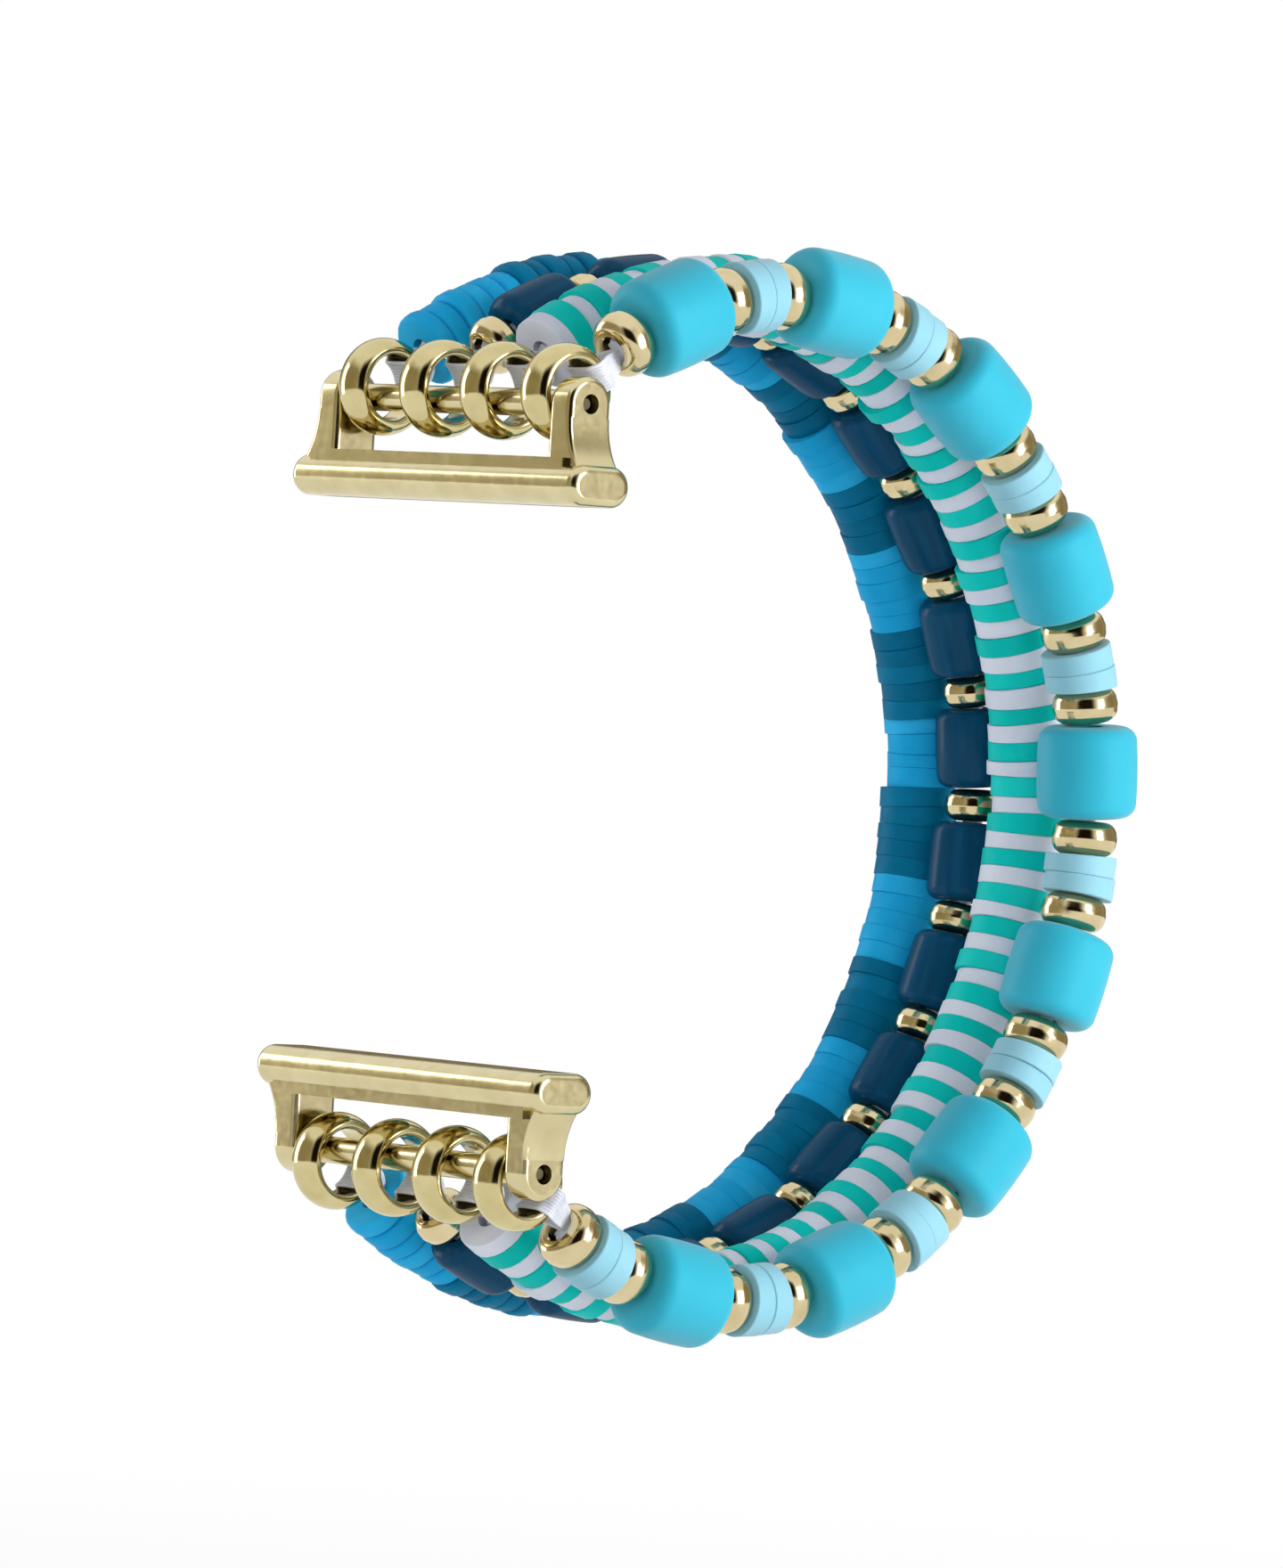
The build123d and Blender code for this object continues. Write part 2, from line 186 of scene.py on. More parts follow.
# Lamps: degrees round from the camera, degrees up, distance, width and height in metres, power
# in watts, and whether mirrors see the lamp. A large softbox level with the band, to the right
# of the camera; a weak fill near it; one to its left that edges the beads; two upright strips.
SOFTBOXES = (
    ("key_softbox", 76, 6, 0.60, 0.34, 0.50, 3.5, False),
    ("fill_softbox", -14, 10, 0.70, 0.44, 0.44, 1.4, False),
    ("rim_softbox", -98, 8, 0.60, 0.20, 0.50, 0.4, False),
    ("right_strip", 60, 4, 0.55, 0.20, 0.50, 1.5, True),
    ("left_strip", -114, 4, 0.55, 0.16, 0.50, 0.9, True),
)
# Flags: degrees round from the camera, half the turn, distance, half the height and colour. A
# dark one round the camera, and tan ones at both sides and behind.
FLAGS = (
    ("camera_flag", 2, 44, 0.72, 1.0, "#1c1409"),
    ("left_flag", -72, 56, 0.76, 0.8, "#b5aa88"),
    ("right_flag", 112, 46, 0.78, 0.8, "#b3a888"),
    ("left_back_flag", -165, 40, 0.80, 0.5, "#8d8062"),
    ("right_back_flag", 160, 40, 0.82, 0.5, "#8d8062"),
)
FLAG_COLUMNS = 33
FLAG_ROWS = 17

# Floor: half its width, its drop below the band, and the distances between which its share of
# the background's white grows from the first value to the second
FLOOR_HALF = 3.0
FLOOR_DROP = 40 * MM
FLOOR_FADE = (0.10, 0.45)
FLOOR_WHITE = (0.80, 1.0)

Bead = namedtuple("Bead", "node middle axis radius length")


# Meshes

def mesh_object(name, points, faces, attributes=()):
    """A smooth mesh object at the origin from (n, 3) points and (m, 4) faces. Each attribute is
    (name, values), with one number or one vector for each point."""
    mesh = bpy.data.meshes.new(name)
    mesh.from_pydata(points.reshape(-1, 3).tolist(), [], faces.reshape(-1, faces.shape[-1]).tolist())
    for label, values in attributes:
        vector = values.ndim == 2
        layer = mesh.attributes.new(label, "FLOAT_VECTOR" if vector else "FLOAT", "POINT")
        layer.data.foreach_set("vector" if vector else "value", values.ravel().astype(np.float32))
    mesh.update()
    mesh.shade_smooth()
    mesh.set_sharp_from_angle(angle=math.radians(SHARP_EDGE_DEG))
    piece = bpy.data.objects.new(name, mesh)
    bpy.context.scene.collection.objects.link(piece)
    return piece


def grid_faces(rows, columns, close_rows, close_columns):
    """Quads of a grid of points numbered row by row: each joins a point to the next in its row
    and in its column, and a closed direction joins the last back to the first."""
    row = np.arange(rows if close_rows else rows - 1)[:, None]
    column = np.arange(columns if close_columns else columns - 1)[None, :]
    next_row, next_column = (row + 1) % rows, (column + 1) % columns
    corners = [row * columns + column, row * columns + next_column]
    corners += [next_row * columns + next_column, next_row * columns + column]
    return np.stack(np.broadcast_arrays(*corners), axis=-1).reshape(-1, 4)


def circle(points):
    """Angles of that many points round a circle."""
    return np.linspace(0, 2 * np.pi, points, endpoint=False)


def unit(vector):
    """A vector's direction."""
    return vector / np.linalg.norm(vector)


def box_of(node):
    """Middle and half size of a CAD node's box."""
    low, high = (np.array(corner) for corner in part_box(node))
    return (low + high) / 2, (high - low) / 2


def solids_of(node):
    """Corner points of each separate solid of a CAD node. Corners at one place are one, and each
    takes the lowest number among those that its triangles join it to, until none changes."""
    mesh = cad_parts[node].data
    places = np.empty(len(mesh.vertices) * 3)
    mesh.vertices.foreach_get("co", places)
    mesh.calc_loop_triangles()
    corners = np.empty(len(mesh.loop_triangles) * 3, np.int32)
    mesh.loop_triangles.foreach_get("vertices", corners)
    grain = 0.001 * MM
    cells, cell_of = np.unique(np.round(places.reshape(-1, 3) / grain), axis=0, return_inverse=True)
    triangles = cell_of.ravel()[corners].reshape(-1, 3)
    number = np.arange(len(cells))
    while True:
        lowest = number[triangles].min(axis=1)
        spread = number.copy()
        np.minimum.at(spread, triangles.ravel(), np.repeat(lowest, 3))
        if np.array_equal(spread, number):
            break
        number = spread
    return [cells[number == value] * grain for value in np.unique(number)]


# Beads in threading order

def loop_angle(place):
    """Angle of a place round the loop, largest at the upper ring and falling to the lower one."""
    return math.atan2(place[2] - LOOP_MIDDLE[2], place[1] - LOOP_MIDDLE[1])


def kind_of(node):
    """Kind of bead that a strand's node holds."""
    return node.split("_", 2)[2].rsplit("_", 1)[0]


def bead_nodes(strand):
    """The strand's bead nodes, stretch by stretch."""
    return [f"strand_{strand}_{kind}_{stretch}" for stretch in STRETCHES for kind in STRAND_KINDS[strand]]


def threaded(nodes):
    """Beads of several nodes in threading order. An axis is the tangent of the circle through a
    bead's middle and its neighbours': the directions to them, each weighed by the other's
    distance. At either end the chord mirrors the neighbour's axis."""
    found = [(node, points.mean(axis=0)) for node in nodes for points in solids_of(node)]
    found.sort(key=lambda item: -loop_angle(item[1]))
    middles = np.array([middle for node, middle in found])
    steps = np.diff(middles, axis=0)
    reach = np.linalg.norm(steps, axis=1, keepdims=True)
    chords = steps / reach
    axes = chords[:-1] * reach[1:] + chords[1:] * reach[:-1]
    axes /= np.linalg.norm(axes, axis=1, keepdims=True)
    first, last = (2 * (chords[end] @ axes[end]) * chords[end] - axes[end] for end in (0, -1))
    axes = np.concatenate([[first], axes, [last]])
    beads = []
    for (node, middle), axis in zip(found, axes):
        width, length = BEAD_SIZES[kind_of(node)]
        beads.append(Bead(node, middle, axis, width / 2, length))
    return beads


def bead_end(bead, side, beyond=0.0):
    """Middle of a bead's low (-1) or high (1) end, or the place that far beyond it."""
    return bead.middle + side * bead.axis * (bead.length / 2 + beyond)


def seams_of(beads, random):
    """Planes, as (place, normal), that the low and high ends of each bead are pressed to. Two
    soft discs share one midway between their ends, made a little uneven; a soft disc lies flat
    on a hard bead's end; a hard bead keeps its own ends."""
    low, high = [None] * len(beads), [None] * len(beads)
    for number, (first, second) in enumerate(zip(beads, beads[1:])):
        softness = [SEAM_SOFTNESS.get(kind_of(bead.node), 0.0) for bead in (first, second)]
        end, start = bead_end(first, 1), bead_end(second, -1)
        share = min(softness)
        if share:
            lean = math.radians(SEAM_LEAN_DEG) * random.normal(size=3)
            normal = unit(first.axis + second.axis + 2 * share * lean)
            wander = np.clip(random.normal(0, SEAM_WANDER), -SEAM_WANDER_MOST, SEAM_WANDER_MOST)
            high[number] = low[number + 1] = ((end + start) / 2 + normal * share * wander, normal)
        elif softness[0]:
            high[number] = (start, second.axis)
        elif softness[1]:
            low[number + 1] = (end, first.axis)
    return low, high


# Bead shapes

def bead_profile(radius, length, edge, bore, bulge, arc_steps):
    """Closed outline of a turned bead as (radius, height) points: up the outer wall, which
    swells by bulge at its middle, round an edge arc, in over the end and down the bore."""
    turn = np.linspace(0, np.pi / 2, arc_steps)
    half = length / 2
    low = np.stack([radius - edge + edge * np.sin(turn), -half + edge - edge * np.cos(turn)], 1)
    wall = np.linspace(-1, 1, WALL_POINTS + 2)[1:-1] if bulge else np.empty(0)
    side = np.stack([radius + bulge * (1 - wall**2), wall * (half - edge)], 1)
    inner = [(bore, half), (bore, -half)]
    if bulge:
        lip = min(BEAD_LIP, edge)
        inner = [(bore + lip, half), (bore, half - lip), (bore, lip - half), (bore + lip, -half)]
    return np.concatenate([low, side, low[::-1] * (1, -1), np.array(inner)])


def pillow_share(middle):
    """Smooth step from 0 to 1 over the loop angles between which the discs grow soft edges."""
    low, high = PILLOW_ANGLES
    share = min(max((abs(loop_angle(middle)) - low) / (high - low), 0.0), 1.0)
    return share * share * (3 - 2 * share)


def leaning(axis, tilt, random):
    """Two directions across a bead and one along it, which leans by a draw of tilt degrees."""
    side = unit(np.cross(axis, ODD_DIRECTION))
    lean = random.normal(0, math.radians(tilt), 2) if tilt else (0.0, 0.0)
    axis = unit(axis + lean[0] * side + lean[1] * np.cross(axis, side))
    side = unit(side - axis * (side @ axis))
    return side, np.cross(axis, side), axis


def bead_grid(bead, seams, push, kind, edge, angle, random):
    """Points of one bead in space and in its own frame: the outline turned round its axis,
    r (cos a, sin a), h, and moved to its place. Its radius varies as 1 + k cos(2 a). Where it
    has seams, its ends lie in them: h is stretched by the seam's height over h's end."""
    side, other, axis = leaning(bead.axis, kind.tilt, random)
    shift = random.normal(0, kind.drift, 2)
    shift = shift * random.choice((1.0, STRAY_REACH), p=(1 - STRAY_SHARE, STRAY_SHARE))
    swell = 1 + random.normal(0, kind.growth)
    swell = swell + kind.roundness * np.cos(2 * angle + random.uniform(0, 2 * np.pi))
    profile = bead_profile(bead.radius, bead.length, edge, HOLE_RADIUS, kind.bulge, kind.arc_steps)
    outer = profile[:, :1] > HOLE_RADIUS * OUTSIDE_FROM
    radius = profile[:, :1] * np.where(outer, swell, 1.0)
    own = np.stack([radius * np.cos(angle), radius * np.sin(angle), 0 * radius + profile[:, 1:]], -1)
    middle = bead.middle + push + shift[0] * side + shift[1] * other
    spot = middle + own[..., :2] @ np.stack([side, other])
    height = own[..., 2]
    for seam, sign in zip(seams, (-1, 1)):
        if seam:
            place, normal = seam
            reach = ((place - spot) @ normal) / (axis @ normal) - sign * SEAM_GAP
            height = np.where(sign * height > 0, height + reach - sign * bead.length / 2, height)
    return spot + height[..., None] * axis, own


def bead_mesh(name, seated, kind, seed, pillows):
    """All the beads of one node as one mesh, from (bead, seams, push) entries. Each point keeps
    its place in its bead's own millimetres, and each bead has a tone of its own."""
    random = np.random.default_rng(seed)
    angle = circle(kind.sides)
    points, local, tones = [], [], []
    for bead, seams, push in seated:
        edge = kind.edge + pillow_share(bead.middle) * (PILLOW_EDGE - kind.edge) if pillows else kind.edge
        placed, own = bead_grid(bead, seams, push, kind, edge, angle, random)
        points.append(placed)
        local.append(own / MM + random.uniform(-PATTERN_SHIFT, PATTERN_SHIFT, 3))
        tones.append(np.full(own.shape[:2], random.uniform(-1, 1)))
    points = np.array(points)
    rows = points.shape[1]
    faces = grid_faces(rows, kind.sides, True, True)
    faces = faces[None] + (np.arange(len(points)) * rows * kind.sides)[:, None, None]
    attributes = (
        ("bead_place", np.array(local).reshape(-1, 3)),
        ("bead_tone", np.array(tones).ravel()),
    )
    return mesh_object(name, points, faces, attributes)


# Ring shape

def ring_mesh(name, node):
    """A closed ring turned round X at its node's place. Its section has a flat bore and a domed
    outside: beyond the widest line an ellipse, inside it a superellipse of power 4."""
    middle, half = box_of(node)
    points = solids_of(node)[0]
    across = np.hypot(points[:, 1] - middle[1], points[:, 2] - middle[2])
    outer, bore = across.max(), across.min()
    widest = bore + RING_WIDEST * (outer - bore)
    turn, angle = circle(RING_SECTION_POINTS), circle(RING_ROUND_POINTS)
    cosine, sine = np.cos(turn), np.sin(turn)
    power = np.where(sine > 0, 1.0, 0.5)
    reach = np.where(sine > 0, outer - widest, widest - bore)
    height = (widest + np.sign(sine) * reach * np.abs(sine) ** power)[:, None]
    width = (half[0] * np.sign(cosine) * np.abs(cosine) ** power)[:, None]
    x = middle[0] + width * np.ones_like(angle)
    y, z = middle[1] + height * np.cos(angle), middle[2] + height * np.sin(angle)
    faces = grid_faces(len(turn), len(angle), True, True)[:, ::-1]
    return mesh_object(name, np.stack([x, y, z], -1), faces)


# Paths and tubes

def smooth_path(knots, steps):
    """Points of a Catmull-Rom curve through the knots, steps to a span: each span is a cubic
    whose slope at a knot is half the way between the knots on either side."""
    knots = np.asarray(knots, float)
    ends = (2 * knots[0] - knots[1], 2 * knots[-1] - knots[-2])
    full = np.concatenate([ends[:1], knots, ends[1:]])
    t = np.linspace(0, 1, steps, endpoint=False)[None, :, None]
    before, here, after, beyond = (full[i : len(knots) - 1 + i][:, None] for i in range(4))
    curve = (
        here
        + t * (after - before) / 2
        + t**2 * (before - 2.5 * here + 2 * after - beyond / 2)
        + t**3 * (1.5 * (here - after) + (beyond - before) / 2)
    )
    return np.concatenate([curve.reshape(-1, knots.shape[1]), knots[-1:]])


def capped_tube(path, side, radii, angle):
    """Points and faces of a closed tube: a section carried along a path, path + r(a) (cos a
    lateral + sin a across), where across is square to the path and to the side direction, and
    radii gives r at each angle. Each end is drawn in to the path's end."""
    along = np.gradient(path, axis=0)
    along /= np.linalg.norm(along, axis=1, keepdims=True)
    across = np.cross(along, side)
    across /= np.linalg.norm(across, axis=1, keepdims=True)
    lateral = np.cross(across, along)
    cosine, sine = np.cos(angle)[None, :, None], np.sin(angle)[None, :, None]
    section = radii[None, :, None] * (cosine * lateral[:, None] + sine * across[:, None])
    grid = path[:, None] + section
    grid = np.concatenate([path[:1, None] + 0 * grid[:1], grid, path[-1:, None] + 0 * grid[-1:]])
    return grid, grid_faces(len(grid), len(angle), False, True)


# Material helpers

def srgb(code):
    """Linear colour of an sRGB hex value."""
    parts = [int(code[i : i + 2], 16) / 255 for i in (1, 3, 5)]
    return [c / 12.92 if c <= 0.04045 else ((c + 0.055) / 1.055) ** 2.4 for c in parts] + [1.0]


def add(tree, kind, inputs=(), **settings):
    """A node with its settings; each input is a value or an output socket to link from."""
    made = tree.nodes.new(kind)
    for name, value in settings.items():
        setattr(made, name, value)
    for name, value in dict(inputs).items():
        if isinstance(value, bpy.types.NodeSocket):
            tree.links.new(value, made.inputs[name])
        else:
            made.inputs[name].default_value = value
    return made


def finish(name, **sockets):
    """A material with one Principled shader, its constant sockets set, and its node tree."""
    material = bpy.data.materials.new(name)
    material.use_nodes = True
    tree = material.node_tree
    shader = tree.nodes["Principled BSDF"]
    for socket, value in sockets.items():
        shader.inputs[socket.replace("_", " ")].default_value = value
    return material, tree, shader


def ramp(tree, factor, stops):
    """A colour ramp over (position, sRGB hex) stops."""
    made = add(tree, "ShaderNodeValToRGB", {"Fac": factor})
    band = made.color_ramp
    while len(band.elements) < len(stops):
        band.elements.new(0.5)
    for element, (position, code) in zip(band.elements, stops):
        element.position = position
        element.color = srgb(code)
    return made.outputs["Color"]


def bead_noise(tree, per_mm, detail, stretch=(1.0, 1.0, 1.0)):
    """Noise in the bead's own millimetres, stretched along its axis where asked."""
    place = add(tree, "ShaderNodeAttribute", attribute_name="bead_place").outputs["Vector"]
    mapped = add(tree, "ShaderNodeMapping", {"Vector": place, "Scale": stretch}).outputs["Vector"]
    inputs = {"Vector": mapped, "Scale": per_mm, "Detail": detail}
    return add(tree, "ShaderNodeTexNoise", inputs).outputs["Fac"]


def object_noise(tree, per_mm, detail):
    """Noise in the piece's object coordinates, for materials that don't need a bead's own."""
    place = add(tree, "ShaderNodeTexCoord").outputs["Object"]
    inputs = {"Vector": place, "Scale": per_mm / MM, "Detail": detail}
    return add(tree, "ShaderNodeTexNoise", inputs).outputs["Fac"]


def dye(tree, shader, noise, tone_share, noise_share, colours):
    """Base colour from dark over middle to light, at 0.5 plus shares of the bead's own tone,
    from -1 to 1, and of a noise round its middle."""
    tone = add(tree, "ShaderNodeAttribute", attribute_name="bead_tone").outputs["Fac"]
    part = add(tree, "ShaderNodeMath", {0: tone, 1: tone_share, 2: 0.5}, operation="MULTIPLY_ADD")
    centred = add(tree, "ShaderNodeMath", {0: noise, 1: 0.5}, operation="SUBTRACT").outputs[0]
    inputs = {0: centred, 1: noise_share, 2: part.outputs[0]}
    place = add(tree, "ShaderNodeMath", inputs, operation="MULTIPLY_ADD", use_clamp=True).outputs[0]
    colour = ramp(tree, place, tuple(zip((0.0, 0.5, 1.0), colours)))
    tree.links.new(colour, shader.inputs["Base Color"])


def bump(tree, shader, height, depth):
    """Bump of that depth in metres from a height of 0 to 1."""
    made = add(tree, "ShaderNodeBump", {"Height": height, "Distance": depth, "Strength": 1.0})
    tree.links.new(made.outputs["Normal"], shader.inputs["Normal"])


# Materials

def polymer_clay(name, *colours):
    """Polymer clay, rolled into a cord and sliced: even dye with faint clouds, a satin skin and
    the drag marks of the blade. A little light passes under the skin and softens the shading."""
    material, tree, shader = finish(
        name,
        Roughness=0.50,
        Subsurface_Weight=0.10,
        Subsurface_Scale=0.4 * MM,
        Specular_IOR_Level=0.07,
    )
    dye(tree, shader, bead_noise(tree, 0.55, 3.0), 0.20, 0.55, colours)
    bump(tree, shader, bead_noise(tree, 2.2, 4.0, (1.0, 1.0, 2.5)), 0.02 * MM)
    return material


def glazed_acrylic(name, *colours):
    """Cast acrylic tube under clear gloss: streaks drawn out along the tube, and one sharp
    lacquer highlight over a softer one."""
    material, tree, shader = finish(
        name,
        Roughness=0.40,
        Coat_Weight=0.14,
        Coat_Roughness=0.12,
        Specular_IOR_Level=0.03,
    )
    dye(tree, shader, bead_noise(tree, 1.6, 4.0, (1.0, 1.0, 0.10)), 0.10, 0.8, colours)
    bump(tree, shader, bead_noise(tree, 0.9, 2.0, (1.0, 1.0, 0.3)), 0.015 * MM)
    return material


def frosted_acrylic(name, *colours):
    """Moulded acrylic with a tumbled, rubbery matte skin: wide soft highlights, light that
    spreads under the surface and lifts the edges, and a very fine grain."""
    material, tree, shader = finish(
        name,
        Roughness=0.50,
        Subsurface_Weight=0.20,
        Subsurface_Scale=1.0 * MM,
        Specular_IOR_Level=0.22,
        Sheen_Weight=0.16,
        Sheen_Roughness=0.5,
    )
    dye(tree, shader, bead_noise(tree, 0.22, 2.0), 0.10, 0.5, colours)
    # The real grain is under 0.05 mm; it is drawn at about 0.15 mm so that it shows
    bump(tree, shader, bead_noise(tree, 6.5, 2.0), 0.006 * MM)
    return material


def plated_metal(name, dark, light, roughness, waviness):
    """Polished plating over a cast body: a mirror with a slightly wavy skin, faint polishing
    haze that changes the sharpness of reflections, and a tint that shifts a little."""
    material, tree, shader = finish(name, Metallic=1.0)
    wave, haze = object_noise(tree, 0.55, 2.0), object_noise(tree, 2.2, 4.0)
    tree.links.new(ramp(tree, wave, ((0.25, dark), (0.75, light))), shader.inputs["Base Color"])
    low, high = (roughness * share for share in HAZE_SHARES)
    inputs = {"Value": haze, "To Min": low, "To Max": high}
    rough = add(tree, "ShaderNodeMapRange", inputs).outputs["Result"]
    tree.links.new(rough, shader.inputs["Roughness"])
    bump(tree, shader, wave, waviness)
    return material


def elastic_thread(name, dark, light):
    """Stretch elastic, a bundle of fine polyurethane threads: off-white and satin, a little greyer in soft
    patches where it has been handled. Both of its colours are darker than the thread's white: painted
    shade over the whole elastic."""
    material, tree, shader = finish(
        name,
        Roughness=0.38,
        Sheen_Weight=0.2,
        Subsurface_Weight=0.12,
        Subsurface_Scale=0.2 * MM,
    )
    patches = object_noise(tree, 0.5, 2.0)
    tree.links.new(ramp(tree, patches, ((0.3, dark), (0.7, light))), shader.inputs["Base Color"])
    bump(tree, shader, patches, 0.01 * MM)
    return material


FINISHES = {
    "connector_gold": plated_metal("polished_pale_gold_plate", "#d2c597", "#dfd3a8", 0.15, 0.012 * MM),
    "ring_gold": plated_metal("polished_ring_gold", "#c9ba84", "#dacd9b", 0.10, 0.02 * MM),
    "spacer_gold": plated_metal("bright_spacer_gold", "#d0be90", "#e2d2a8", 0.12, 0.012 * MM),
    # The steel of the bar tips, springs and latch is painted dark: painted shade for tips that sit deep in
    # the lug holes.
    "bar_steel": plated_metal("tip_steel_painted_shade", "#57503e", "#6d654f", 0.40, 0.008 * MM),
    "azure_clay": polymer_clay("azure_polymer_clay", "#1293cb", "#1ba7df", "#35bbee"),
    "teal_clay": polymer_clay("teal_polymer_clay", "#005a7c", "#006b92", "#0480ab"),
    "green_clay": polymer_clay("sea_green_polymer_clay", "#00aea6", "#06c2bb", "#22d4ce"),
    "white_clay": polymer_clay("lilac_white_polymer_clay", "#c6ccdc", "#d4d9e7", "#e2e5f0"),
    "denim_gloss": glazed_acrylic("denim_blue_acrylic", "#032f49", "#064364", "#0c567e"),
    "turquoise_matte": frosted_acrylic("frosted_turquoise_acrylic", "#1f9bb3", "#28a7c0", "#38b4cd"),
    "pale_blue": frosted_acrylic("pale_blue_acrylic", "#76b0c2", "#86bccd", "#97c8d8"),
    # The elastic's pale greys are painted shade on white thread.
    "elastic_white": elastic_thread("white_stretch_elastic", "#c6cad6", "#e0e3ec"),
}


def dress(piece, finish_name, body):
    """Give a new piece its material and, where one is given, the body it rides on."""
    piece.data.materials.clear()
    piece.data.materials.append(FINISHES[finish_name])
    if body:
        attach(piece, body)


# Beads

# A kind's finish, record slot, edge radius, sides, steps of the edge arc, swell of its middle,
# tilt in degrees, drift out of line, and how far its radius varies round it and between beads
Kind = namedtuple(
    "Kind",
    "finish slot edge sides arc_steps bulge tilt drift roundness growth",
    defaults=(0.0, 0.0, 0.0, 0.0, 0.0),
)
CLAY = {"sides": 24, "roundness": DISC_ROUNDNESS}
BLUE_CLAY = {"edge": 0.025 * MM, "arc_steps": 4, "drift": DISC_DRIFT, "growth": 0.012, **CLAY}
STRIPE_CLAY = {"edge": 0.05 * MM, "arc_steps": 2, "drift": STRIPE_DRIFT, "growth": 0.030, **CLAY}
GOLD = {"edge": 0.88 * MM, "arc_steps": 9, "tilt": 0.5, "drift": 0.02 * MM}
KINDS = {
    "azure_discs": Kind("azure_clay", "azure_clay", **BLUE_CLAY),
    "teal_discs": Kind("teal_clay", "teal_clay", **BLUE_CLAY),
    "green_discs": Kind("green_clay", "green_clay", **STRIPE_CLAY),
    "white_discs": Kind("white_clay", "white_clay", **STRIPE_CLAY),
    "pale_discs": Kind(
        "pale_blue",
        "pale_blue_clay",
        edge=0.06 * MM,
        sides=48,
        arc_steps=2,
        drift=0.04 * MM,
        roundness=0.004,
        growth=0.008,
    ),
    "blue_tubes": Kind(
        "denim_gloss",
        "denim_blue_gloss",
        edge=0.85 * MM,
        sides=56,
        arc_steps=8,
        bulge=0.04 * MM,
        tilt=0.8,
        drift=0.03 * MM,
        roundness=0.004,
        growth=0.004,
    ),
    "small_gold_spacers": Kind("spacer_gold", "spacer_gold", sides=48, bulge=0.04 * MM, **GOLD),
    "gold_spacers": Kind("spacer_gold", "spacer_gold", sides=56, bulge=0.05 * MM, **GOLD),
    "barrels": Kind(
        "turquoise_matte",
        "turquoise_matte",
        edge=1.0 * MM,
        sides=72,
        arc_steps=9,
        bulge=0.06 * MM,
        tilt=0.5,
        drift=0.02 * MM,
        roundness=0.003,
        growth=0.003,
    ),
}


def make_beads(strand):
    """Every bead node of a strand, replaced by its finished beads."""
    nodes = bead_nodes(strand)
    beads = threaded(nodes)
    random = np.random.default_rng(strand)
    low, high = seams_of(beads, random)
    in_runs = strand == RUN_STRAND
    pushes, push = [], np.zeros(3)
    for number, bead in enumerate(beads):
        if in_runs and kind_of(bead.node) != kind_of(beads[number - 1].node):
            push = np.cross(bead.axis, random.normal(0, RUN_DRIFT, 3))
        pushes.append(push)
    seated = list(zip(beads, zip(low, high), pushes))
    for number, node in enumerate(nodes):
        stretch = node.rsplit("_", 1)[1]
        kind = KINDS[kind_of(node)]
        own = [entry for entry in seated if entry[0].node == node]
        piece = bead_mesh(f"{node}_beads", own, kind, strand * SEEDS_PER_STRAND + number, in_runs)
        dress(piece, kind.finish, f"strand_{strand}_{stretch}")
        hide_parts(node)


# Elastic

def loop_threads(ring_node, first_bead, toward):
    """Threads round the far band of a ring: out of the bead, down one side of the band, through
    the bore, up the other side and back into the bead. They lie side by side along the ring."""
    middle, half_size = box_of(ring_node)
    half_band, band_outer = half_size[0], half_size[2]
    outward = first_bead.axis * toward
    mouth = first_bead.middle - outward * first_bead.length / 2
    across = unit(ACROSS - outward * (ACROSS @ outward))
    spread = np.cross(outward, across)
    reach = (mouth - middle) @ outward
    bore_side = band_outer - RING_WALL
    grids, face_sets, start = [], [], 0
    angle = circle(THREAD_SIDES)
    for number in range(THREADS):
        offset = (number - (THREADS - 1) / 2) * THREAD_SPREAD
        dip = bore_side - np.sqrt(max(bore_side**2 - offset**2, 0.0))
        inside = bore_side - dip - THREAD_CLEARANCE - BORE_CLEARANCE
        # Across the band, out from the ring's middle, and the share of the spread there
        half_route = [
            (0.24 * MM, reach + 0.9 * MM, MOUTH_SQUEEZE * 0.7),
            (0.30 * MM, reach + 0.1 * MM, MOUTH_SQUEEZE),
            (0.66 * half_band, band_outer + 0.26 * MM, 0.85),
            (half_band + THREAD_CLEARANCE * 0.6, band_outer - 0.55 * MM, 1.0),
            (half_band + THREAD_CLEARANCE, band_outer - 0.95 * MM, 1.0),
            (0.80 * half_band, inside - 0.02 * MM, 1.0),
            (0.40 * half_band, inside - 0.10 * MM, 1.0),
        ]
        route = half_route + [(0.0, inside - 0.12 * MM, 1.0)]
        route += [(-side, out, share) for side, out, share in reversed(half_route)]
        side, out, share = (np.array(column)[:, None] for column in zip(*route))
        knots = middle + across * side + outward * out + spread * offset * share
        path = smooth_path(knots, THREAD_STEPS)
        grid, faces = capped_tube(path, spread, np.full(THREAD_SIDES, THREAD_RADIUS), angle)
        grids.append(grid.reshape(-1, 3))
        face_sets.append(faces + start)
        start += len(grids[-1])
    return np.concatenate(grids), np.concatenate(face_sets)


def bundle(beads):
    """Bundled threads through a run of beads: a round section with n lobes, of radius
    R (1 - d + d cos(n a)), on a smooth path through the bead middles, run on at both ends."""
    first, last = beads[0], beads[-1]
    middles = [first.middle - first.axis * first.length * RUN_ON] + [bead.middle for bead in beads]
    middles.append(last.middle + last.axis * last.length * RUN_ON)
    angle = circle(BUNDLE_SIDES)
    lobes = 1 - BUNDLE_LOBE_DEPTH + BUNDLE_LOBE_DEPTH * np.cos(BUNDLE_LOBES * angle)
    return capped_tube(smooth_path(middles, BUNDLE_STEPS), ACROSS, BUNDLE_RADIUS * lobes, angle)


